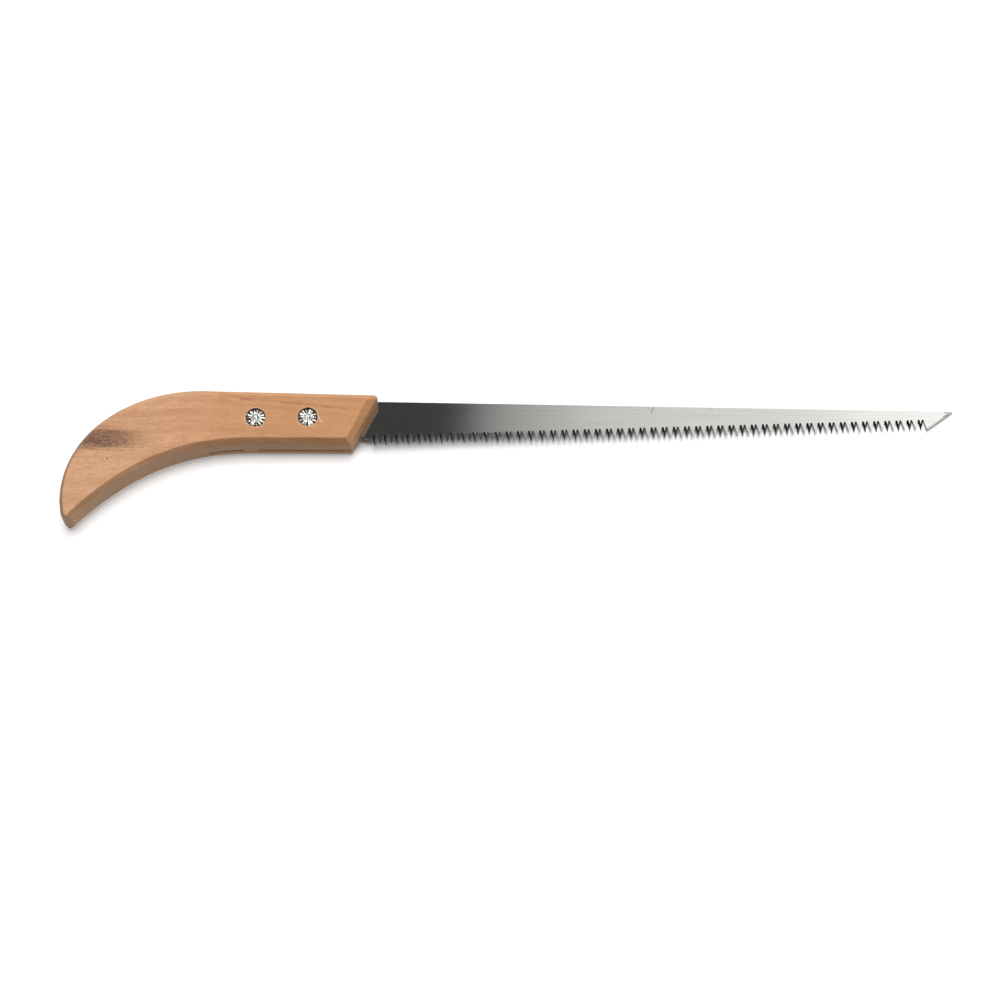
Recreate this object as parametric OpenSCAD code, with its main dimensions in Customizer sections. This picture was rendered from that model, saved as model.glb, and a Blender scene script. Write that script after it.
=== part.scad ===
// Drywall saw lying flat: a curved wooden handle, a long tapered blade with a sharp
// point, and two tubular rivets that hold the blade's tang in a kerf in the wood.
//
// X runs along the blade's spine towards the point, Y from the teeth towards the
// spine, and Z through the thickness. The origin is on the handle's lower face,
// midway between the two rivets.

/* [Handle] */
// Thickness of the handle
handle_t = 18; // [14:0.5:24]
// Height of the chamfers around both faces
chamfer_h = 2.4; // [1:0.1:3]
// Width of the chamfers along the top and the lower edge
chamfer_w = 2.4; // [1:0.1:3]
// Width of the front end's chamfers at its top corner
front_top_chamfer_w = 4.1; // [1:0.1:5]
// Width of the front end's chamfers at its lower corner
front_low_chamfer_w = 3.2; // [1:0.1:4]
// Width that the chamfers narrow to at the tail
tail_chamfer_w = 1.5; // [1:0.1:3]
// Height of the handle's top edge above the rivet line
grip_top = 14; // [13.8:0.1:18]
// Depth of the handle's lower edge below the rivet line
grip_bottom = 12.8; // [11:0.1:16]
// Distance from the origin to the top corner of the front end
front_top_x = 46.6; // [42:0.1:50]
// Distance from the origin to the lower corner of the front end
front_bottom_x = 33.8; // [30:0.1:38]
// Distance from the origin back to the end of the tail
tail_back = 104.5; // [95:0.5:115]
// Depth of the sharp tail corner below the rivet line, before it is rounded
tail_drop = 58.2; // [50:0.1:62]
// Radius of the tail
tail_r = 3.2; // [1:0.1:3.2]

/* [Kerf] */
// Height of the kerf's lower wall above the handle's lower face
kerf_z = 6.1; // [4:0.1:10]
// Width of the kerf
kerf_w = 1.3; // [1.25:0.05:2]
// Distance from the origin back to the kerf's closed end
kerf_back = 36.5; // [34:0.5:45]
// Radius of the round saw that cut the kerf
kerf_r = 110; // [90:5:150]

/* [Blade] */
// Thickness of the blade
blade_t = 1.2; // [0.8:0.1:1.2]
// Height of the straight spine above the rivet line
spine_y = 13; // [11:0.1:13.6]
// Distance from the origin to the point
point_x = 325; // [320:0.5:360]
// Distance from the origin back to the end of the tang
tang_back = 32; // [26:0.5:33]
// Depth of the tang below the rivet line
tang_drop = 4.9; // [4.5:0.1:6]
// Angle of the slanting cut that makes the point
point_angle = 37; // [25:1:60]

/* [Teeth] */
// Distance from one tooth to the next
tooth_pitch = 2.7; // [2.5:0.05:3]
// Number of gullets between the teeth
gullet_count = 100; // [60:1:100]
// Distance from the origin to the first gullet
first_gullet_x = 43.3; // [43:0.1:46]
// Depth of the first tooth's tip below the rivet line
tooth_drop = 9.4; // [9:0.1:10]
// Depth of the gullets
tooth_depth = 5.1; // [3:0.1:5.4]
// Radius at the bottom of each gullet
gullet_r = 0.42; // [0.2:0.02:0.5]
// Angle between the tooth line and the spine
taper_angle = 2.77; // [2:0.01:3]
// Angle at which every gullet is ground across the blade, left and right in turn
fleam_angle = 35; // [0:1:36]

/* [Rivets] */
// Distance between the two rivets
rivet_spacing = 25.1; // [22:0.1:28]
// How much higher the front rivet sits than the rear one
rivet_rise = 0.8; // [0:0.1:1.2]
// Radius of the rivet's shank
shank_r = 2.5; // [2:0.1:2.6]
// Radius of the splayed star
star_r = 4.5; // [4:0.1:4.6]
// Number of petals in the star
petal_count = 12; // [8:1:14]
// Radius of the plain head
head_r = 4.9; // [4:0.1:5]

/* [Hidden] */

// Clearance between the shank and the holes around it
shank_gap = 0.05;
// Recesses in the handle for the star above and for the plain head below
star_recess_r = 4.8;
star_recess_depth = 1.4;
star_below_face = 0.25;
head_recess_r = 5.15;
head_recess_depth = 1.7;
head_below_face = 0.3;
// Depth and radius of the hollow in the tubular end of the shank
hollow_depth = 6;
hollow_r = 1.3;
// Radius at which the slits between the petals end, and half a slit's angle
slit_r = 2.9;
slit_half_angle = 3;

blade_z = kerf_z + (kerf_w - blade_t) / 2;
rear_hole = [-rivet_spacing / 2, -rivet_rise / 2];
front_hole = [rivet_spacing / 2, rivet_rise / 2];
// Extra length that lets a cutter run clear of what it cuts
over = 1;

// The handle's two long curves, each as the four control points of a cubic
back_curve = [
    [-38, grip_top],
    [-73, grip_top],
    [-tail_back - 1.8, -8.5],
    [-tail_back, -44]
];
inner_curve = [
    [-tail_back + 7, -tail_drop + 7.2],
    [-67, -20],
    [-41, -grip_bottom - 0.5],
    [-10, -grip_bottom - 0.2]
];
tail_corner = [-tail_back + 2.3, -tail_drop];
front_bottom = [front_bottom_x, -grip_bottom + 0.3];
front_top = [front_top_x, grip_top - 0.8];
// The tail, back and inner steps add up to an odd number, so that a ring has an even
// number of points
back_steps = 40;
inner_steps = 32;
tail_steps = 13;
corner_steps = 7;
edge_radii = [1, 1.5, tail_r];
face_radii = [2.2, 1, 1];

// Point at t on a cubic, and the unit normal there, to the left of its direction
function cubic(p, t) = let (s = 1 - t)
    s * s * s * p[0] + 3 * s * s * t * p[1] + 3 * s * t * t * p[2] + t * t * t * p[3];
function cubic_slope(p, t) = let (s = 1 - t)
    s * s * (p[1] - p[0]) + 2 * s * t * (p[2] - p[1]) + t * t * (p[3] - p[2]);
function left_of(d) = [-d[1], d[0]] / norm(d);

// Points on a curve moved sideways to its left, by a width that is a function of t
function curve_points(p, width, steps) = [
    for (i = [0 : steps])
        cubic(p, i / steps) + width(i / steps) * left_of(cubic_slope(p, i / steps))
];

// Point where the line a-b, moved left by wa, meets the line c-d, moved left by wc
function crossing(a, b, wa, c, d, wc) =
    let (p = a + wa * left_of(b - a), q = c + wc * left_of(d - c), u = b - a, v = d - c)
    p + u * ((q - p)[0] * v[1] - (q - p)[1] * v[0]) / (u[0] * v[1] - u[1] * v[0]);

// Round corner of radius r at the point c, between the points a and b
function round_corner(a, c, b, r, steps) =
    let (
        u = (a - c) / norm(a - c),
        v = (b - c) / norm(b - c),
        half = acos(u * v) / 2,
        start = c + u * r / tan(half),
        middle = c + (u + v) / norm(u + v) * r / sin(half),
        from = atan2(start[1] - middle[1], start[0] - middle[0]),
        turn = 180 - 2 * half
    )
    [
        for (i = [0 : steps])
            middle + r * [cos(from + turn * i / steps), sin(from + turn * i / steps)]
    ];

// Outline of the handle, counter-clockwise, moved inwards by w, by tail_w at the tail,
// and by low_w and high_w at the two ends of the front edge. The radii are those of its
// lower and upper front corners and its tail.
function handle_ring(w, tail_w, low_w, high_w, radii) =
    let (
        back_w = function (t) w + (tail_w - w) * pow(t, 2),
        inner_w = function (t) w + (tail_w - w) * pow(1 - t, 3),
        back = curve_points(back_curve, back_w, back_steps),
        inner = curve_points(inner_curve, inner_w, inner_steps),
        tail = crossing(back_curve[3], tail_corner, tail_w, tail_corner, inner_curve[0], tail_w),
        low = crossing(inner_curve[3], front_bottom, w, front_bottom, front_top, low_w),
        high = crossing(front_bottom, front_top, high_w, front_top, back_curve[0], w)
    )
    concat(
        round_corner(low, high, back[0], radii[1], corner_steps),
        back,
        round_corner(back[back_steps], tail, inner[0], radii[2], tail_steps),
        inner,
        round_corner(inner[inner_steps], low, high, radii[0], corner_steps)
    );

// Solid between rings of the same even number of points, one above the other. Each
// end is a strip that runs between the first and the second half of its ring.
module loft(rings, heights) {
    n = len(rings[0]);
    last = len(rings) - 1;
    top = last * n;
    points = [
        for (k = [0 : last])
            for (p = rings[k]) [p[0], p[1], heights[k]]
    ];
    sides = [
        for (k = [0 : last - 1])
            for (i = [0 : n - 1])
                let (a = k * n + i, b = k * n + (i + 1) % n)
                [a, a + n, b + n, b]
    ];
    ends = [
        for (i = [0 : n / 2 - 2])
            let (j = n - 1 - i)
            each [
                [i, i + 1, j - 1],
                [i, j - 1, j],
                [top + i + 1, top + i, top + j - 1],
                [top + j - 1, top + i, top + j]
            ]
    ];
    polyhedron(points = points, faces = concat(sides, ends), convexity = 6);
}

// Cylinder from one height to another at a place given in the plane
module rod(place, r, from, to, sides = 72) {
    translate([place[0], place[1], from])
        cylinder(r = r, h = to - from, $fn = sides);
}

// Wooden handle, chamfered on both faces, with its kerf, rivet holes and recesses
module handle() {
    edge = handle_ring(0, 0, 0, 0, edge_radii);
    face = handle_ring(
        chamfer_w, tail_chamfer_w, front_low_chamfer_w, front_top_chamfer_w, face_radii
    );
    color("burlywood")
        difference() {
            loft([face, edge, edge, face], [0, chamfer_h, handle_t - chamfer_h, handle_t]);
            rod([kerf_r - kerf_back, 0], kerf_r, kerf_z, kerf_z + kerf_w, 360);
            for (hole = [rear_hole, front_hole]) {
                rod(hole, shank_r + shank_gap, -over, handle_t + over);
                rod(hole, star_recess_r, handle_t - star_recess_depth, handle_t + over);
                rod(hole, head_recess_r, -over, head_recess_depth);
            }
        }
}

// Height of the line through the tooth tips at a distance x from the origin
function tip_line(x) = -tooth_drop + (x - first_gullet_x) * tan(taper_angle);

// Outline of the steel plate before the gullets are ground
module plate_outline() {
    // The point's slanting cut starts where the spine ends and meets the tooth line
    cut = tan(point_angle);
    rise = tan(taper_angle);
    drop = spine_y - tip_line(point_x);
    corner_x = point_x - drop / (cut - rise);
    tang_chamfer = 4;
    // The plain heel slopes down from the handle's front end to the first gullet
    heel_start = front_bottom_x + 3;
    heel_end = [first_gullet_x - 1.2, -tang_drop - 1.5];
    polygon([
        [-tang_back, spine_y - tang_chamfer],
        [-tang_back, -tang_drop + tang_chamfer / 2],
        [-tang_back + tang_chamfer, -tang_drop],
        [heel_start, -tang_drop],
        heel_end,
        [first_gullet_x, heel_end[1]],
        [first_gullet_x, tip_line(first_gullet_x)],
        [corner_x, tip_line(corner_x)],
        [point_x, spine_y],
        [-tang_back + tang_chamfer, spine_y]
    ]);
}

// Section across one gullet: a V with a round bottom, open towards -Y
module gullet_section() {
    // The half-width leaves each tooth a sharp tip on one face of the blade
    tip_half = (tooth_pitch / 2 + blade_t / 2 * tan(fleam_angle) - 0.04) * cos(fleam_angle);
    lean = atan((tip_half - gullet_r) / (tooth_depth - gullet_r));
    run = tooth_depth + over;
    mouth = gullet_r / cos(lean) + (run - gullet_r) * tan(lean);
    arc_steps = 6;
    polygon(concat(
        [[-mouth, -run], [mouth, -run]],
        [
            for (i = [0 : arc_steps])
                let (a = -lean + (180 + 2 * lean) * i / arc_steps)
                [gullet_r * cos(a), gullet_r * sin(a) - gullet_r]
        ]
    ));
}

// Blade with its tang, rivet holes, teeth and point
module blade() {
    // A gullet's cutter is long enough to pass through the plate at the fleam angle
    cutter = 3 * blade_t + 2;
    color("silver")
        difference() {
            translate([0, 0, blade_z])
                linear_extrude(blade_t)
                    plate_outline();
            for (i = [0 : gullet_count - 1]) {
                x = first_gullet_x + i * tooth_pitch;
                side = i % 2 == 0 ? 1 : -1;
                translate([x, tip_line(x) + tooth_depth, blade_z + blade_t / 2])
                    rotate([0, side * fleam_angle, taper_angle])
                        linear_extrude(cutter, center = true)
                            gullet_section();
            }
            for (hole = [rear_hole, front_hole])
                rod(hole, shank_r + shank_gap, blade_z - over, blade_z + blade_t + over);
        }
}

// Outline of the star that the tubular end is splayed into
module star_outline() {
    step = 360 / petal_count;
    polygon([
        for (i = [0 : petal_count - 1])
            for (p = [[slit_half_angle, star_r], [step - slit_half_angle, star_r], [step, slit_r]])
                p[1] * [cos(i * step + p[0]), sin(i * step + p[0])]
    ]);
}

// Tubular rivet: plain head below, shank, and star above with the hollow's mouth
module rivet(place) {
    star_top = handle_t - star_below_face;
    star_bottom = handle_t - star_recess_depth;
    color("gainsboro")
        difference() {
            union() {
                rod(place, head_r, head_below_face, head_recess_depth);
                rod(place, shank_r, head_recess_depth, star_bottom);
                translate([place[0], place[1], star_bottom])
                    linear_extrude(star_top - star_bottom)
                        star_outline();
            }
            rod(place, hollow_r, star_top - hollow_depth, star_top + over, 48);
        }
}

module rear_rivet() {
    rivet(rear_hole);
}

module front_rivet() {
    rivet(front_hole);
}

handle();
blade();
rear_rivet();
front_rivet();
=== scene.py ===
"""Looks of a drywall saw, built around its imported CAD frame. Lengths are in metres."""

import math
import random

import bmesh
import bpy
from mathutils import Matrix, Vector, noise


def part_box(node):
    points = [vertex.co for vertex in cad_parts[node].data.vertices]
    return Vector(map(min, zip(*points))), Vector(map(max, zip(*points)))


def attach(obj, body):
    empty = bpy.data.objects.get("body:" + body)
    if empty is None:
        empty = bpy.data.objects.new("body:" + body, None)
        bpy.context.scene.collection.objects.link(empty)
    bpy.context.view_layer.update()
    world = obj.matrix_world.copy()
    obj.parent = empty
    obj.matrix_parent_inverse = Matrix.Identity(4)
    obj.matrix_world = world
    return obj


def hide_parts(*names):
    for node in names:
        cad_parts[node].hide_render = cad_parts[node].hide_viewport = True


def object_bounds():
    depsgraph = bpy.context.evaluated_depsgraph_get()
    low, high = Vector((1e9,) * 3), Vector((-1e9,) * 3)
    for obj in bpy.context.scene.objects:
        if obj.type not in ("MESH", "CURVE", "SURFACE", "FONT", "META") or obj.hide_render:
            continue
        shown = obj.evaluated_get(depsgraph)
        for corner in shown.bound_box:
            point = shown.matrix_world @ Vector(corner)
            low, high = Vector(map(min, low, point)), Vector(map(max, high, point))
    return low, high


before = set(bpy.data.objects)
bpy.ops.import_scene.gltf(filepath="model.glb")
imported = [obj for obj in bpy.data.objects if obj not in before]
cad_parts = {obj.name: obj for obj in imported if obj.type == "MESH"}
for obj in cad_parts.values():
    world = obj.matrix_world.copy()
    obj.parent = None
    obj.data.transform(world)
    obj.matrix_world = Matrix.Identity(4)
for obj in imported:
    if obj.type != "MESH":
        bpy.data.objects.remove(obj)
CAD_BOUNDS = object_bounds()

MM = 0.001

# ---------------------------------------------------------------- places from the frame

HANDLE_LOW, HANDLE_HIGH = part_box("handle")
BLADE_LOW, BLADE_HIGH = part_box("blade")
RIVETS = {name: sum(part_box(name), Vector()) / 2 for name in ("rear_rivet", "front_rivet")}
HANDLE_T = HANDLE_HIGH.z - HANDLE_LOW.z

# ------------------------------------------------------- sizes that the CAD model also has

CHAMFER_H = 2.4 * MM
KERF_CLEARANCE = 0.05 * MM
KERF_BACK_X = -36.5 * MM
KERF_SAW_R = 110 * MM
BORE_R = 2.55 * MM
STAR_RECESS_R = 4.8 * MM
STAR_RECESS_DEPTH = 1.4 * MM
HEAD_RECESS_R = 5.15 * MM
HEAD_RECESS_DEPTH = 1.7 * MM
TOOTH_PITCH = 2.7 * MM
TOOTH_DEPTH = 5.1 * MM
FIRST_GULLET_X = 43.3 * MM
GULLET_COUNT = 100
TAPER = math.tan(math.radians(2.77))
FIRST_TIP_Y = -9.4 * MM


# ------------------------------------------------------------------------- mesh helpers

def add_object(name, mesh):
    """Puts a mesh into the scene as a new object at the origin."""
    piece = bpy.data.objects.new(name, mesh)
    bpy.context.scene.collection.objects.link(piece)
    return piece


def mesh_from(name, points, faces):
    mesh = bpy.data.meshes.new(name)
    mesh.from_pydata([tuple(p) for p in points], [], faces)
    mesh.validate()
    return mesh


def rings_to_mesh(name, rings):
    """Closed mesh through rings of equal length, with one flat face at each end."""
    count = len(rings[0])
    points = [p for ring in rings for p in ring]
    faces = []
    for k in range(len(rings) - 1):
        for i in range(count):
            a, b = k * count + i, k * count + (i + 1) % count
            faces.append((a, b, b + count, a + count))
    last = (len(rings) - 1) * count
    faces.append(tuple(reversed(range(count))))
    faces.append(tuple(range(last, last + count)))
    mesh = mesh_from(name, points, faces)
    face_outwards(mesh)
    return mesh


def face_outwards(mesh):
    work = bmesh.new()
    work.from_mesh(mesh)
    bmesh.ops.recalc_face_normals(work, faces=work.faces)
    work.to_mesh(mesh)
    work.free()


def lathe(name, place, profile, steps=96):
    """Solid of revolution about a vertical axis through place, from (radius, height) pairs."""
    rings = []
    for radius, height in profile:
        turns = [2 * math.pi * i / steps for i in range(steps)]
        rings.append([
            (place.x + radius * math.cos(t), place.y + radius * math.sin(t), height)
            for t in turns
        ])
    return add_object(name, rings_to_mesh(name, rings))


def prism(name, outline, low, high):
    """Upright prism with a flat outline."""
    rings = [[(x, y, z) for x, y in outline] for z in (low, high)]
    return add_object(name, rings_to_mesh(name, rings))


def cut(piece, cutters):
    """Takes the cutters out of the piece and deletes them."""
    for cutter in cutters:
        change = piece.modifiers.new("cut", "BOOLEAN")
        change.operation = "DIFFERENCE"
        change.solver = "EXACT"
        change.object = cutter
    apply_modifiers(piece)
    for cutter in cutters:
        bpy.data.objects.remove(cutter)


def apply_modifiers(piece):
    bpy.context.view_layer.update()
    ready = piece.evaluated_get(bpy.context.evaluated_depsgraph_get())
    mesh = bpy.data.meshes.new_from_object(ready)
    piece.modifiers.clear()
    piece.data = mesh


def shade(piece, sharp_degrees=35):
    """Smooth shading that keeps edges over an angle sharp and broad faces flat."""
    mesh = piece.data
    mesh.polygons.foreach_set("use_smooth", [True] * len(mesh.polygons))
    mesh.set_sharp_from_angle(angle=math.radians(sharp_degrees))
    even = piece.modifiers.new("even_normals", "WEIGHTED_NORMAL")
    even.keep_sharp = True


def smoothstep(value, low, high):
    t = min(max((value - low) / (high - low), 0), 1)
    return t * t * (3 - 2 * t)


# ------------------------------------------------------------------------ node helpers

class Nodes:
    """Adds nodes to a tree. An input is a number, a tuple or another node's socket."""

    def __init__(self, tree):
        self.tree = tree
        tree.nodes.clear()

    def add(self, kind, inputs, out=0, **settings):
        node = self.tree.nodes.new("ShaderNode" + kind)
        for name, value in settings.items():
            setattr(node, name, value)
        for key, value in inputs.items():
            if isinstance(value, bpy.types.NodeSocket):
                self.tree.links.new(value, node.inputs[key])
            else:
                node.inputs[key].default_value = value
        return node.outputs[out]

    def math(self, operation, a, b=0.0, clamp=False):
        return self.add("Math", {0: a, 1: b}, operation=operation, use_clamp=clamp)

    def plus(self, a, b):
        return self.math("ADD", a, b)

    def times(self, a, b):
        return self.math("MULTIPLY", a, b)

    def most(self, a, b):
        return self.math("MAXIMUM", a, b)

    def fade(self, value, low, high, start=0.0, end=1.0):
        """Smooth change from start to end while the value goes from low to high."""
        ends = {0: value, 1: low, 2: high, 3: start, 4: end}
        if low > high:
            ends = {0: value, 1: high, 2: low, 3: end, 4: start}
        return self.add("MapRange", ends, interpolation_type="SMOOTHSTEP")

    def combine(self, x, y, z):
        return self.add("CombineXYZ", {0: x, 1: y, 2: z})

    def separate(self, vector):
        node = self.add("SeparateXYZ", {0: vector}).node
        return node.outputs[0], node.outputs[1], node.outputs[2]

    def noise(self, x, y, z, detail=2.0, rough=0.5):
        """Noise from 0 to 1 about 0.5, one cell per unit."""
        inputs = {
            "Vector": self.combine(x, y, z), "Scale": 1.0, "Detail": detail, "Roughness": rough
        }
        return self.add("TexNoise", inputs)

    def stretched_noise(self, place, per_mm, detail=2.0, rough=0.5):
        """Noise with its own number of cells per millimetre along each axis."""
        scaled = [self.times(p, s) for p, s in zip(place, per_mm)]
        return self.noise(*scaled, detail, rough)

    def mix(self, factor, a, b):
        return self.add("Mix", {0: factor, 6: a, 7: b}, out=2, data_type="RGBA")

    def segment_distance(self, x, y, a, b):
        """Distance in the plane from a point to the line between a and b."""
        along = (b[0] - a[0], b[1] - a[1])
        square = along[0] ** 2 + along[1] ** 2
        dx = self.math("SUBTRACT", x, a[0])
        dy = self.math("SUBTRACT", y, a[1])
        dot = self.plus(self.times(dx, along[0] / square), self.times(dy, along[1] / square))
        t = self.math("ADD", dot, 0.0, clamp=True)
        ox = self.math("SUBTRACT", dx, self.times(t, along[0]))
        oy = self.math("SUBTRACT", dy, self.times(t, along[1]))
        return self.math("SQRT", self.plus(self.times(ox, ox), self.times(oy, oy)))

    def ellipse(self, x, y, centre, radii):
        """0 at the centre of an ellipse and 1 on it."""
        u = self.times(self.math("SUBTRACT", x, centre[0]), 1 / radii[0])
        v = self.times(self.math("SUBTRACT", y, centre[1]), 1 / radii[1])
        return self.math("SQRT", self.plus(self.times(u, u), self.times(v, v)))


def new_material(name, finish, surface):
    """Material whose surface function returns the sockets' values. finish holds constants."""
    material = bpy.data.materials.new(name)
    material.use_nodes = True
    n = Nodes(material.node_tree)
    shader = n.add("BsdfPrincipled", {**finish, **surface(n)})
    output = n.tree.nodes.new("ShaderNodeOutputMaterial")
    n.tree.links.new(shader, output.inputs["Surface"])
    return material


def millimetres(n):
    """The point's place in the frame, in millimetres, as x, y and z."""
    place = n.add("TexCoord", {}, out=3)
    return n.separate(n.add("VectorMath", {0: place, 3: 1000.0}, operation="SCALE"))


def normal_parts(n):
    return n.separate(n.add("NewGeometry", {}, out=1))


def bump(n, height, distance, strength=1.0):
    return n.add("Bump", {"Height": height, "Distance": distance, "Strength": strength})


# --------------------------------------------------------------------------- materials

WOOD_PALE = (0.525, 0.302, 0.176, 1)
WOOD_WARM = (0.468, 0.236, 0.112, 1)
WOOD_BAND = (0.340, 0.156, 0.068, 1)
WOOD_STREAK = (0.270, 0.105, 0.048, 1)
# Colour of the end grain, also used for the painted shade on the rim
WOOD_END_GRAIN_AND_SHADE = (0.180, 0.094, 0.029, 1)
WOOD_STAIN = (0.125, 0.062, 0.038, 1)
WOOD_TORN = (0.640, 0.470, 0.330, 1)
# Reddish streaks: both ends in millimetres, half-width and strength
STREAKS = (
    ((-30, 13.3), (-16, 9.9), 0.9, 0.55),
    ((-20, 10.3), (9, 8.4), 0.8, 0.45),
    ((2, 8.5), (31, 6.2), 0.7, 0.55),
    ((-14, 11.6), (6, 10.8), 0.9, 0.3),
    ((-96, -12.9), (-85, -14.6), 0.5, 0.6),
)
# Places on the upper face, in millimetres: a knot's stain, a chip by the front rivet, a pit
KNOT_CENTRE = (-86.0, -12.7)
KNOT_RADII = (31.0, 6.3)
CHIP = ((16.7, 3.6), (17.2, 2.2), (18.2, -0.2), (19.5, -2.2))
CHIP_HALF_WIDTH, CHIP_DEPTH = 0.22, 0.3
PIT = (-82.6, -23.1)
PIT_RADII = (1.0, 0.42, 0.45)
# Radii between which the torn ring round a rivet's recess fades in, and out again
TORN_IN, TORN_OUT = (4.75, 4.95), (5.35, 5.05)


def wood_surface(n):
    x, y, z = millimetres(n)
    nx, _, nz = normal_parts(n)
    # The grain slopes down towards the front and wavers
    waver = n.stretched_noise((x, y, z), (0.013, 0.05, 0.05))
    slope = n.fade(x, -75.0, -20.0, 0.0, 0.1)
    grain_y = n.plus(n.plus(y, n.times(x, slope)), n.times(waver, 9.0))
    grain = (x, grain_y, z)
    bands = n.stretched_noise(grain, (0.006, 0.24, 0.12), 3.0, 0.55)
    patches = n.stretched_noise((x, y, z), (0.045, 0.09, 0.09), 2.0)
    fibres = n.stretched_noise(grain, (0.16, 1.5, 1.5), 3.0, 0.65)
    mottle = n.stretched_noise(grain, (0.75, 1.25, 1.25), 3.0, 0.7)
    flecks = n.add("TexVoronoi", {
        "Vector": n.combine(n.times(x, 0.30), n.times(grain_y, 1.9), n.times(z, 1.9)),
        "Scale": 1.0,
    })
    fleck = n.times(n.fade(flecks, 0.30, 0.12), n.fade(mottle, 0.45, 0.62))

    colour = n.mix(n.fade(x, -70.0, -5.0), WOOD_PALE, WOOD_WARM)
    colour = n.mix(n.fade(bands, 0.40, 0.66, 0.0, 0.40), colour, WOOD_BAND)
    colour = n.mix(n.fade(patches, 0.35, 0.70, 0.0, 0.35), colour, WOOD_PALE)
    colour = n.mix(n.fade(fibres, 0.38, 0.70, 0.0, 0.50), colour, WOOD_BAND)
    colour = n.mix(n.fade(mottle, 0.45, 0.72, 0.0, 0.38), colour, WOOD_BAND)
    colour = n.mix(n.times(fleck, 0.65), colour, WOOD_STREAK)

    streak_y = n.plus(y, n.times(n.stretched_noise((x, y, z), (0.11, 0.2, 0.2)), 2.0))
    for a, b, half_width, strength in STREAKS:
        away = n.segment_distance(x, streak_y, a, b)
        line = n.times(n.fade(away, half_width, 0.1, 0.0, strength), n.fade(fibres, 0.3, 0.6, 0.4))
        colour = n.mix(line, colour, WOOD_STREAK)

    # A dark stain spreads along the grain from the back edge
    stain_q = n.ellipse(x, y, KNOT_CENTRE, KNOT_RADII)
    ragged = n.stretched_noise((x, y, z), (0.07, 0.75, 0.4), 4.0, 0.65)
    stain_q = n.plus(stain_q, n.math("SUBTRACT", ragged, 0.5))
    stain = n.times(n.fade(stain_q, 1.15, 0.45), n.fade(x, -54.0, -85.0))
    stain = n.times(stain, n.fade(mottle, 0.30, 0.62, 0.55, 1.0))
    colour = n.mix(stain, colour, WOOD_STAIN)

    # Painted shade darkens the rim's chamfers and sides; the end grain is darker on its own as
    # well
    upright = n.math("ABSOLUTE", nz)
    across = n.math("ABSOLUTE", nx)
    rim_painted_shade = n.plus(n.fade(upright, 0.95, 0.78, 0.0, 0.36), n.fade(upright, 0.60, 0.10, 0.0, 0.42))
    rim_painted_shade = n.times(rim_painted_shade, n.fade(across, 0.85, 0.65))
    # end holds both the end grain's own darker tone and the rim's painted shade
    end = n.most(rim_painted_shade, n.fade(across, 0.25, 0.60, 0.0, 0.62))
    pores = n.noise(n.times(x, 0.8), n.times(y, 3.2), n.times(z, 3.2), 2.0)
    colour = n.mix(n.times(end, n.fade(pores, 0.3, 0.7, 0.65, 1.1)), colour, WOOD_END_GRAIN_AND_SHADE)

    # Torn pale wood round the rivets' recesses and at the chip beside the front one
    torn = 0.0
    upper = n.fade(z, 16.9, 17.6)
    for centre in RIVETS.values():
        away = n.ellipse(x, y, (centre.x / MM, centre.y / MM), (1.0, 1.0))
        ring = n.times(n.fade(away, *TORN_IN), n.fade(away, *TORN_OUT))
        torn = n.most(torn, n.times(ring, n.fade(mottle, 0.38, 0.6, 0.15, 0.8)))
    for a, b in zip(CHIP, CHIP[1:]):
        away = n.segment_distance(x, y, a, b)
        torn = n.most(torn, n.fade(away, 0.42, 0.15))
    away = n.ellipse(x, y, PIT, (1.0, 0.45))
    torn = n.most(torn, n.times(n.fade(away, 0.8, 1.1), n.fade(away, 1.9, 1.2, 0.0, 0.6)))
    colour = n.mix(n.times(torn, upper), colour, WOOD_TORN)

    height = n.plus(n.times(fibres, 0.6), n.times(fleck, -0.5))
    height = n.plus(height, n.times(bands, 1.5))
    return {
        "Base Color": colour,
        "Roughness": n.fade(fibres, 0.3, 0.8, 0.50, 0.62),
        "Normal": bump(n, height, 0.035 * MM),
    }


STEEL_DARK = (0.600, 0.600, 0.575, 1)
STEEL_BRIGHT = (0.720, 0.720, 0.695, 1)
STEEL_BROAD = (0.560, 0.560, 0.530, 1)
STEEL_SPECK = (0.330, 0.320, 0.300, 1)
STEEL_MARK = (0.10, 0.10, 0.09, 1)
# Painted shade for the ground edges, and a painted lighter tone for their sides facing forward
GROUND_SHADE_DARK = (0.014, 0.014, 0.013, 1)
GROUND_SHADE_PALE = (0.062, 0.061, 0.058, 1)
GROUND_PAINTED_LIGHT = (0.330, 0.330, 0.320, 1)
# Marks on the steel: both ends in millimetres, half-width, and how dark
BLADE_MARKS = (
    ((178.6, 9.7), (180.1, 14.2), 0.36, 0.65),
    ((206.5, 12.3), (207.1, 12.2), 0.35, 0.5),
    ((211.6, 11.9), (212.1, 11.7), 0.35, 0.5),
    ((83.4, 11.6), (83.2, 9.8), 0.18, 0.25),
    ((320.8, 12.35), (323.4, 12.45), 0.32, 0.9),
    ((320.4, 10.3), (322.6, 11.7), 0.40, 0.9),
)
# The slanting cut at the point and the width of the strip along it that takes the ground edges'
# painted shade, and one scratch
POINT_CUT = ((311.8, 3.8), (324.3, 12.7))
POINT_GROUND_SHADE_WIDTH = 0.12
SCRATCH = ((53.3, 9.9), (53.4, 6.4))


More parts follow.
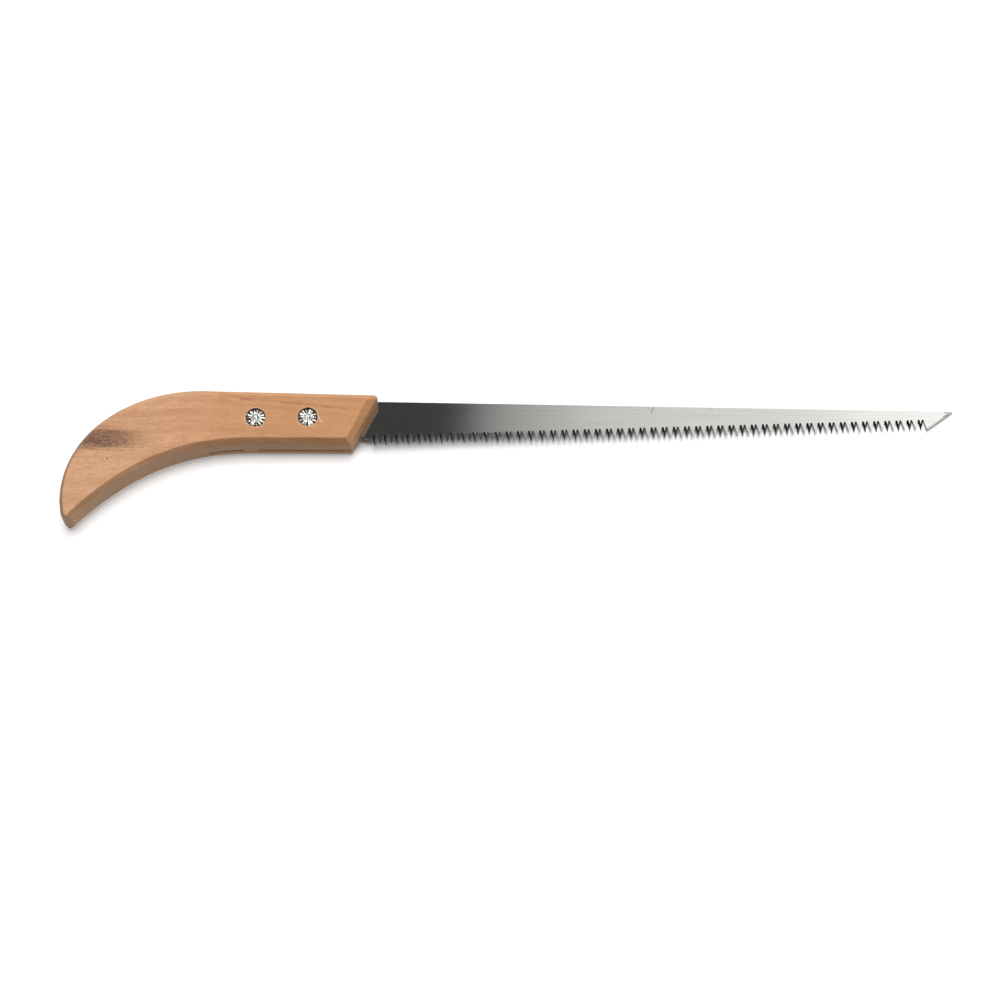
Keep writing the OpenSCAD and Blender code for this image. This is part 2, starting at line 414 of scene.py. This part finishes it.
def blade_surface(n):
    x, y, z = millimetres(n)
    nx, _, nz = normal_parts(n)
    flat = n.fade(n.math("ABSOLUTE", nz), 0.80, 0.97)
    # A strip along the cut at the point takes the ground edges' painted shade too
    point = n.segment_distance(x, y, *POINT_CUT)
    flat = n.times(flat, n.fade(point, POINT_GROUND_SHADE_WIDTH * 0.8, POINT_GROUND_SHADE_WIDTH * 1.2, 0.35, 1.0))
    fine = n.stretched_noise((x, y, z), (0.03, 5.5, 5.5), 3.0, 0.7)
    coarse = n.stretched_noise((x, y, z), (0.012, 1.3, 1.3), 3.0, 0.6)
    clouds = n.stretched_noise((x, y, z), (0.05, 0.22, 0.22), 3.0, 0.6)
    specks = n.stretched_noise((x, y, z), (0.9, 1.1, 1.1), 2.0)

    steel = n.mix(n.fade(fine, 0.30, 0.72), STEEL_DARK, STEEL_BRIGHT)
    steel = n.mix(n.fade(coarse, 0.45, 0.72, 0.0, 0.35), steel, STEEL_BROAD)
    steel = n.mix(n.fade(specks, 0.70, 0.80, 0.0, 0.5), steel, STEEL_SPECK)
    for a, b, half_width, strength in BLADE_MARKS:
        away = n.segment_distance(x, y, a, b)
        steel = n.mix(n.fade(away, half_width, 0.05, 0.0, strength), steel, STEEL_MARK)
    # Painted shade: the ground edges are painted darker than the rolled faces, most of all on the
    # teeth's rear sides; the sides facing forward get a painted lighter tone
    ground_painted_shade = n.mix(n.fade(fine, 0.3, 0.7), GROUND_SHADE_DARK, GROUND_SHADE_PALE)
    painted_lit_side = n.times(n.fade(nx, 0.05, 0.35), n.fade(fine, 0.2, 0.7, 0.5, 1.0))
    ground_painted_shade = n.mix(painted_lit_side, ground_painted_shade, GROUND_PAINTED_LIGHT)
    colour = n.mix(flat, ground_painted_shade, steel)
    rough = n.plus(n.fade(clouds, 0.3, 0.7, 0.058, 0.072), n.fade(fine, 0.4, 0.8, 0.0, 0.012))
    rough = n.plus(rough, n.times(n.math("SUBTRACT", 1.0, flat), 0.2))
    rough = n.plus(rough, n.fade(n.segment_distance(x, y, *SCRATCH), 0.20, 0.08, 0.0, 0.08))
    height = n.plus(n.times(fine, 0.5), n.times(coarse, 1.0))
    return {
        "Base Color": colour,
        "Roughness": rough,
        "Tangent": n.add("Tangent", {}, direction_type="UV_MAP", uv_map="length"),
        "Normal": bump(n, height, 0.0025 * MM),
    }


RIVET_BRIGHT = (0.84, 0.84, 0.80, 1)
RIVET_TARNISH = (0.36, 0.35, 0.31, 1)
RIVET_PIT = (0.10, 0.09, 0.08, 1)
# Painted shade for the bottom of the star's slits
RIVET_SLIT_SHADE = (0.060, 0.050, 0.042, 1)


def rivet_surface(n):
    x, y, z = millimetres(n)
    # Painted shade, only in the bottom of the star's slits
    slit_shade = n.times(n.fade(z, 17.15, 16.75), n.fade(z, 12.0, 14.0))
    tarnish = n.stretched_noise((x, y, z), (1.1, 1.1, 1.1), 3.0, 0.6)
    scuffs = n.stretched_noise((x, y, z), (4.0, 4.0, 4.0), 3.0, 0.6)
    pits = n.stretched_noise((x, y, z), (2.6, 2.6, 2.6), 2.0)
    colour = n.mix(n.fade(tarnish, 0.42, 0.66, 0.0, 0.8), RIVET_BRIGHT, RIVET_TARNISH)
    colour = n.mix(n.fade(pits, 0.62, 0.70, 0.0, 0.8), colour, RIVET_PIT)
    colour = n.mix(slit_shade, colour, RIVET_SLIT_SHADE)
    return {
        "Base Color": colour,
        "Roughness": n.fade(scuffs, 0.3, 0.7, 0.14, 0.30),
        "Normal": bump(n, scuffs, 0.03 * MM, 0.6),
    }


WOOD = new_material("wood_sanded", {"Specular IOR Level": 0.35}, wood_surface)
# The brushing runs along U, so the reflections spread across it
BLADE_STEEL = new_material(
    "steel_rolled",
    {"Metallic": 1.0, "Anisotropic": 0.97, "Anisotropic Rotation": 0.25},
    blade_surface,
)
RIVET_STEEL = new_material("steel_plated", {"Metallic": 1.0}, rivet_surface)


# ------------------------------------------------------------------------ wooden handle

WEAR_SEED, WEAR_SCALE = 3.0, 90
RIM_SPACING = 1.4 * MM


def cad_outline(node, height):
    """The CAD node's outer loop of edges at a height, counter-clockwise, as (x, y)."""
    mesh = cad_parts[node].data
    mesh.calc_loop_triangles()
    level = round(height * 1e6)
    after = {}
    for triangle in mesh.loop_triangles:
        corners = [tuple(round(c * 1e6) for c in mesh.vertices[i].co) for i in triangle.vertices]
        for k in range(3):
            a, b, c = corners[k], corners[(k + 1) % 3], corners[(k + 2) % 3]
            if abs(a[2] - level) < 10 and abs(b[2] - level) < 10 and c[2] < level - 10:
                after[b[:2]] = a[:2]
    loops = []
    while after:
        start, point = after.popitem()
        loop = [start]
        while point != start:
            loop.append(point)
            point = after.pop(point)
        loops.append([Vector((x * 1e-6, y * 1e-6)) for x, y in loop])
    loop = max(loops, key=lambda points: abs(signed_area(points)))
    return loop if signed_area(loop) > 0 else loop[::-1]


def signed_area(points):
    pairs = zip(points, points[1:] + points[:1])
    return sum(a.x * b.y - b.x * a.y for a, b in pairs) / 2


def matched_outlines(node):
    """The handle's side outline and its face outline, point for point."""
    edge = cad_outline(node, HANDLE_HIGH.z - CHAMFER_H)
    face = cad_outline(node, HANDLE_HIGH.z)
    if len(edge) != len(face):
        raise ValueError(f"the outlines have {len(edge)} and {len(face)} points")
    count = len(edge)

    def gap(shift):
        return sum((edge[i] - face[(i + shift) % count]).length for i in range(count))

    best = min(range(count), key=gap)
    return edge, [face[(i + best) % count] for i in range(count)]


def denser(edge, face, spacing):
    """Adds points along both outlines so that none are further apart than spacing."""
    edge_points, face_points = [], []
    for i in range(len(edge)):
        j = (i + 1) % len(edge)
        steps = max(1, math.ceil((edge[j] - edge[i]).length / spacing))
        for k in range(steps):
            edge_points.append(edge[i].lerp(edge[j], k / steps))
            face_points.append(face[i].lerp(face[j], k / steps))
    return edge_points, face_points


def rounded(before, corner, after, size, steps=5):
    """Points on a curve that cuts a corner, starting and ending size away from it."""
    start = corner + (before - corner).normalized() * size
    end = corner + (after - corner).normalized() * size
    return [start.lerp(corner, t).lerp(corner.lerp(end, t), t) for t in
            (k / (steps - 1) for k in range(steps))]


def handle_profile(edge, face):
    """One section of the handle's rim, from its lower face up to its upper one."""
    inward = (face - edge).to_3d().normalized()
    section = []
    for low, sign in ((HANDLE_LOW.z, 1), (HANDLE_HIGH.z, -1)):
        wear = noise.noise(Vector((edge.x, edge.y, WEAR_SEED + sign)) * WEAR_SCALE)
        corner = Vector((edge.x, edge.y, low + sign * CHAMFER_H))
        arris = Vector((face.x, face.y, low))
        middle = corner - Vector((0, 0, -sign)) * HANDLE_T / 4
        points = rounded(arris + inward, arris, corner, (0.62 + 0.22 * wear) * MM)
        points += rounded(arris, corner, middle, (0.85 + 0.3 * wear) * MM)
        section += points if sign > 0 else points[::-1]
    return section


# Points along the kerf's mouth: x in millimetres, and whether a few fibres close it there
KERF_FIBRES = ((-19.5, False), (-18.2, True), (-14.0, True), (-11.2, True), (-10.4, False))


def kerf_cutter():
    """The disc-shaped kerf, which leaves a few fibres across its mouth on the lower edge."""
    axis_x = KERF_BACK_X + KERF_SAW_R
    far_y, fibre_y = -20 * MM, -12.75 * MM
    front_x = 70 * MM
    reach = math.asin(20 * MM / KERF_SAW_R)
    steps = 40
    arc = [
        (axis_x - KERF_SAW_R * math.cos(a), KERF_SAW_R * math.sin(a))
        for a in (reach - 2 * reach * i / steps for i in range(steps + 1))
    ]
    fibres = [(x * MM, fibre_y if tip else far_y) for x, tip in KERF_FIBRES]
    outline = [(front_x, -far_y)] + arc + fibres + [(front_x, far_y)]
    return prism("kerf", outline, BLADE_LOW.z - KERF_CLEARANCE, BLADE_HIGH.z + KERF_CLEARANCE)


def rivet_cutters(centre):
    """Bore with a recess at each end, slightly flared at its mouth."""
    top, bottom, over, flare = HANDLE_HIGH.z, HANDLE_LOW.z, 1 * MM, 0.18 * MM
    profile = [
        (HEAD_RECESS_R + flare, bottom - over),
        (HEAD_RECESS_R + flare, bottom),
        (HEAD_RECESS_R, bottom + flare),
        (HEAD_RECESS_R, bottom + HEAD_RECESS_DEPTH),
        (BORE_R, bottom + HEAD_RECESS_DEPTH),
        (BORE_R, top - STAR_RECESS_DEPTH),
        (STAR_RECESS_R, top - STAR_RECESS_DEPTH),
        (STAR_RECESS_R, top - flare),
        (STAR_RECESS_R + flare, top),
        (STAR_RECESS_R + flare, top + over),
    ]
    return lathe("bore", centre, profile)


def dent(x, y, radii, turn=0.0):
    """Small hollow in the upper face, given in millimetres."""
    mesh = bpy.data.meshes.new("dent")
    work = bmesh.new()
    bmesh.ops.create_icosphere(work, subdivisions=3, radius=1)
    place = Matrix.Translation((x * MM, y * MM, HANDLE_HIGH.z + 0.05 * MM))
    size = Matrix.Diagonal((*[r * MM for r in radii], 1))
    work.transform(place @ Matrix.Rotation(turn, 4, "Z") @ size)
    work.to_mesh(mesh)
    work.free()
    return add_object("dent", mesh)


def make_handle():
    edge, face = denser(*matched_outlines("handle"), RIM_SPACING)
    sections = [handle_profile(e, f) for e, f in zip(edge, face)]
    rings = [list(ring) for ring in zip(*sections)]
    handle = add_object("handle_wood", rings_to_mesh("handle_wood", rings))
    cutters = [kerf_cutter()] + [rivet_cutters(centre) for centre in RIVETS.values()]
    cutters.append(dent(*PIT, PIT_RADII))
    for a, b in zip(CHIP, CHIP[1:]):
        middle = ((a[0] + b[0]) / 2, (a[1] + b[1]) / 2)
        turn = math.atan2(b[1] - a[1], b[0] - a[0])
        half_length = math.dist(a, b) * 0.62
        cutters.append(dent(*middle, (half_length, CHIP_HALF_WIDTH, CHIP_DEPTH), turn))
    cut(handle, cutters)
    handle.data.materials.clear()
    handle.data.materials.append(WOOD)
    shade(handle)
    return handle


# -------------------------------------------------------------------------------- blade

TOOTH_SET = 0.36 * MM


def gullet_line(x):
    """Height of the line through the gullets' bottoms."""
    return FIRST_TIP_Y + (x - FIRST_GULLET_X) * TAPER + TOOTH_DEPTH


def bend_teeth(mesh):
    """Bends the teeth away from the blade's middle, to one side and the other in turn."""
    for vertex in mesh.vertices:
        tooth = math.floor((vertex.co.x - FIRST_GULLET_X) / TOOTH_PITCH)
        if 0 <= tooth < GULLET_COUNT - 1:
            below = (gullet_line(vertex.co.x) - vertex.co.y) / TOOTH_DEPTH
            side = -1 if tooth % 2 == 0 else 1
            vertex.co.z += side * TOOTH_SET * smoothstep(below, 0.08, 1.0)


def add_length_uv(mesh):
    """A UV map whose U runs along the blade, so that the brushing does too."""
    layer = mesh.uv_layers.new(name="length")
    size = BLADE_HIGH.x - BLADE_LOW.x
    for loop in mesh.loops:
        co = mesh.vertices[loop.vertex_index].co
        layer.data[loop.index].uv = ((co.x - BLADE_LOW.x) / size, (co.y - BLADE_LOW.y) / size)


def make_blade():
    mesh = bpy.data.meshes.new("blade_set")
    work = bmesh.new()
    work.from_mesh(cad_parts["blade"].data)
    bmesh.ops.remove_doubles(work, verts=work.verts, dist=0.001 * MM)
    work.to_mesh(mesh)
    work.free()
    while mesh.uv_layers:
        mesh.uv_layers.remove(mesh.uv_layers[0])
    bend_teeth(mesh)
    add_length_uv(mesh)
    mesh.materials.clear()
    mesh.materials.append(BLADE_STEEL)
    blade = add_object("blade_set", mesh)
    mesh.polygons.foreach_set("use_smooth", [False] * len(mesh.polygons))
    return blade


# ------------------------------------------------------------------------------- rivets

PETALS = 14
STAR_R = 4.72 * MM
SHANK_R = 2.5 * MM
HEAD_R = 4.9 * MM
STAR_TOP_DEPTH = 0.25 * MM
RIVET_TURNS = 216
STAR_STEPS = 34
RIVET_GAP = 0.02 * MM
# The underside head, in millimetres: how far in from its rim, and how high above the face
HEAD_PROFILE = ((0, 1.5), (0, 1.15), (0.12, 0.85), (0.45, 0.60), (1.1, 0.42), (2.2, 0.33))


def petal_shapes(dice):
    """Each petal: its middle angle, half-angle, length, lift and sideways tilt."""
    step = 2 * math.pi / PETALS
    return [
        {
            "middle": (i + dice.uniform(-0.13, 0.13)) * step,
            "half": step * dice.uniform(0.33, 0.52),
            "length": STAR_R * dice.uniform(0.94, 1.0),
            "lift": dice.uniform(-0.30, 0.14) * MM,
            "tilt": dice.uniform(-0.42, 0.42) * MM,
            "slit": dice.uniform(0.40, 0.62) * STAR_R,
        }
        for i in range(PETALS)
    ]


def star_height(petals, r, turn, seed):
    """Depth below the star's highest level, on the crumpled petals or in the slits."""
    def offset(petal):
        return (turn - petal["middle"] + math.pi) % (2 * math.pi) - math.pi

    petal = min(petals, key=lambda p: abs(offset(p)))
    across = offset(petal) / petal["half"]
    crest = 1 - smoothstep(abs(across), 0.55, 1.05)
    open_slit = smoothstep(r, petal["slit"] * 0.8, petal["slit"] * 1.25)
    share = r / STAR_R
    # The torn tube rises from its mouth, rolls over and drops at the rim
    roll = 0.42 * (1 - smoothstep(share, 0.12, 0.42)) + 0.34 * smoothstep(share, 0.76, 1.0)
    point = Vector((r * math.cos(turn), r * math.sin(turn), seed * MM))
    crumple = noise.noise(point * 900) * 0.17 + noise.noise(point * 2100) * 0.10
    depth = roll * MM - petal["lift"] * share - petal["tilt"] * across * share + crumple * MM
    depth += 0.18 * MM * (1 - crest) * (1 - open_slit) * smoothstep(share, 0.1, 0.4)
    slit_depth = STAR_RECESS_DEPTH - STAR_TOP_DEPTH - 0.1 * MM
    depth += (slit_depth - depth) * (1 - crest) * open_slit
    if r > petal["length"]:
        depth = slit_depth
    return min(max(depth, 0), slit_depth)


def make_rivet(name, seed):
    centre = RIVETS[name]
    dice = random.Random(seed)
    petals = petal_shapes(dice)
    top = HANDLE_HIGH.z - STAR_TOP_DEPTH
    turns = [2 * math.pi * i / RIVET_TURNS for i in range(RIVET_TURNS)]

    def ring(radius, height):
        return [
            (centre.x + radius * math.cos(t), centre.y + radius * math.sin(t), height(t))
            for t in turns
        ]

    recess_floor = HANDLE_HIGH.z - STAR_RECESS_DEPTH + RIVET_GAP
    rings = []
    for k in range(STAR_STEPS + 1):
        radius = STAR_R * (0.012 + 0.988 * k / STAR_STEPS)
        rings.append(ring(radius, lambda t, r=radius: top - star_height(petals, r, t, seed)))
    low = HANDLE_LOW.z
    head_top = low + HEAD_RECESS_DEPTH - RIVET_GAP
    rest = [
        (STAR_R * 0.99, recess_floor),
        (SHANK_R, recess_floor),
        (SHANK_R, head_top),
        (HEAD_R - 0.1 * MM, head_top),
    ]
    rest += [(HEAD_R - inset * MM, low + height * MM) for inset, height in HEAD_PROFILE]
    rest.append((HEAD_R * 0.1, low + 0.30 * MM))
    rings += [ring(radius, lambda t, h=height: h) for radius, height in rest]
    rivet = add_object(name + "_star", rings_to_mesh(name + "_star", rings))
    rivet.data.materials.append(RIVET_STEEL)
    shade(rivet, 50)
    return rivet


# ------------------------------------------------------------------------------ the saw

def place_piece(piece, node):
    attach(piece, "root")
    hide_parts(node)
    return piece


PIECES = [
    place_piece(make_handle(), "handle"),
    place_piece(make_blade(), "blade"),
    place_piece(make_rivet("rear_rivet", 11), "rear_rivet"),
    place_piece(make_rivet("front_rivet", 29), "front_rivet"),
]


# ------------------------------------------------------------- floor, light and camera

def floor_surface(n):
    x, y, z = millimetres(n)
    grain = n.stretched_noise((x, y, z), (0.02, 0.02, 0.02), 2.0)
    return {
        "Base Color": n.mix(grain, (0.54, 0.54, 0.54, 1), (0.56, 0.56, 0.56, 1)),
    }


# The floor rises towards the point from under the front of the handle, as if the saw leaned
LEAN_X = 36 * MM
POINT_GAP = 0.5 * MM
FLOOR_HALF = 6.0


def make_floor():
    rise = (BLADE_LOW.z - POINT_GAP) / (BLADE_HIGH.x - LEAN_X)
    corners = [
        (x * FLOOR_HALF, y * FLOOR_HALF, (x * FLOOR_HALF - LEAN_X) * rise)
        for x, y in ((-1, -1), (1, -1), (1, 1), (-1, 1))
    ]
    floor = add_object("floor", mesh_from("floor", corners, [(0, 1, 2, 3)]))
    finish = {"Roughness": 0.8, "Specular IOR Level": 0.1}
    floor.data.materials.append(new_material("pale_floor", finish, floor_surface))
    return floor


SKY = 0.30
# Radiance that the blade mirrors, by the slope of the direction along the saw
CARD = (
    (-0.0255, 0.064), (-0.0225, 0.072), (-0.0185, 0.21), (-0.0066, 0.43), (0.028, 0.80),
    (0.062, 0.95), (0.097, 1.00), (0.131, 1.30), (0.160, 1.42),
)
CARD_LOW, CARD_SPAN, CARD_TOP = -0.05, 0.25, 1.5
# Slopes at which the card fades in and out, along the saw and across it
CARD_ALONG = ((-0.55, -0.35), (0.40, 0.22))
CARD_ACROSS = ((-0.05, 0.12), (0.85, 0.65))


def make_sky():
    """Dim studio dome with a graded card, hung where the blade mirrors it to the camera."""
    world = bpy.data.worlds.new("studio")
    world.use_nodes = True
    bpy.context.scene.world = world
    n = Nodes(world.node_tree)
    dx, dy, dz = n.separate(n.add("TexCoord", {}, out=0))
    dome = n.plus(n.fade(dy, -0.9, 0.5, 0.3 * SKY, 1.4 * SKY), n.fade(dx, -0.2, 1.0, 0.0, SKY))
    height = n.most(dz, 0.05)
    sx = n.math("DIVIDE", dx, height)
    sy = n.math("DIVIDE", dy, height)
    place = n.times(n.math("SUBTRACT", sx, CARD_LOW), 1 / CARD_SPAN)
    card = n.add("ValToRGB", {0: place})
    ramp = card.node.color_ramp
    for slope, light in CARD:
        level = light / CARD_TOP
        stop = ramp.elements.new((slope - CARD_LOW) / CARD_SPAN)
        stop.color = (level, level, level, 1)
    ramp.elements.remove(ramp.elements[0])
    ramp.elements.remove(ramp.elements[-1])
    card = n.times(card, CARD_TOP)
    along = n.times(n.fade(sx, *CARD_ALONG[0]), n.fade(sx, *CARD_ALONG[1]))
    across = n.times(n.fade(sy, *CARD_ACROSS[0]), n.fade(sy, *CARD_ACROSS[1]))
    inside = n.times(n.times(along, across), n.fade(dz, 0.2, 0.4))
    light = n.plus(n.times(dome, n.math("SUBTRACT", 1.0, inside)), n.times(card, inside))
    lamp = n.add("Background", {"Color": (1, 1, 1, 1), "Strength": light})
    backdrop = n.add("Background", {"Color": (1, 1, 1, 1), "Strength": 1.0})
    seen = n.add("LightPath", {}, out=0)
    shown = n.add("MixShader", {0: seen, 1: lamp, 2: backdrop})
    output = n.tree.nodes.new("ShaderNodeOutputWorld")
    n.tree.links.new(shown, output.inputs["Surface"])


def named_collection(name, members):
    collection = bpy.data.collections.new(name)
    for member in members:
        collection.objects.link(member)
    return collection


def make_lamp(name, way, strength, width, lit, mirrored=False, blockers=None):
    """Far lamp that lights only the objects in lit. The blockers shade it, or else everything.

    way points to the lamp and width is its size in degrees. Only a mirrored one shows in steel.
    """
    data = bpy.data.lights.new(name, "SUN")
    data.energy = strength
    data.angle = math.radians(width)
    lamp = bpy.data.objects.new(name, data)
    lamp.rotation_euler = Vector(way).to_track_quat("Z", "Y").to_euler()
    lamp.visible_camera = False
    lamp.visible_glossy = mirrored
    bpy.context.scene.collection.objects.link(lamp)
    lamp.light_linking.receiver_collection = named_collection(name + "_lit", lit)
    if blockers:
        lamp.light_linking.blocker_collection = named_collection(name + "_blockers", blockers)


def lean(degrees, sideways=0.0):
    """Direction that leans back from the vertical."""
    return (sideways, math.sin(math.radians(degrees)), math.cos(math.radians(degrees)))


ELEVATION = math.radians(70)
AZIMUTH = math.radians(1.06)
DISTANCE = 1.4
HALF_VIEW = math.radians(9.80)
# From the middle of the CAD box, on the floor, to the point the camera looks at
AIM = Vector((-0.0041, -0.0149, 0))


def make_camera():
    low, high = [Vector(corner) for corner in CAD_BOUNDS]
    middle = (low + high) / 2
    target = Vector((middle.x, middle.y, low.z)) + AIM
    flat = math.cos(ELEVATION)
    away = Vector((flat * math.sin(AZIMUTH), -flat * math.cos(AZIMUTH), math.sin(ELEVATION)))
    data = bpy.data.cameras.new("camera")
    data.sensor_width = 36
    data.lens = data.sensor_width / 2 / math.tan(HALF_VIEW)
    data.clip_end = 50
    camera = bpy.data.objects.new("camera", data)
    camera.location = target + away * DISTANCE
    camera.rotation_euler = (-away).to_track_quat("-Z", "Y").to_euler()
    bpy.context.scene.collection.objects.link(camera)
    bpy.context.scene.camera = camera


floor = make_floor()
make_sky()
handle, blade, *rivets = PIECES
make_lamp("floor_lamp", lean(7), strength=3.6, width=28, lit=[floor])
make_lamp("floor_low_lamp", lean(34), strength=2.2, width=26, lit=[floor], blockers=[blade])
make_lamp("saw_top_lamp", lean(15, 0.14), strength=1.4, width=60, lit=PIECES)
make_lamp("saw_back_lamp", lean(56, 0.15), strength=2.9, width=46, lit=PIECES)
make_lamp("saw_side_lamp", (0.90, -0.20, 0.42), strength=0.5, width=40, lit=[handle])
make_lamp("rivet_lamp", lean(24, 0.1), strength=1.25, width=44, lit=rivets, mirrored=True)
make_camera()
bpy.context.scene.view_settings.view_transform = "Standard"
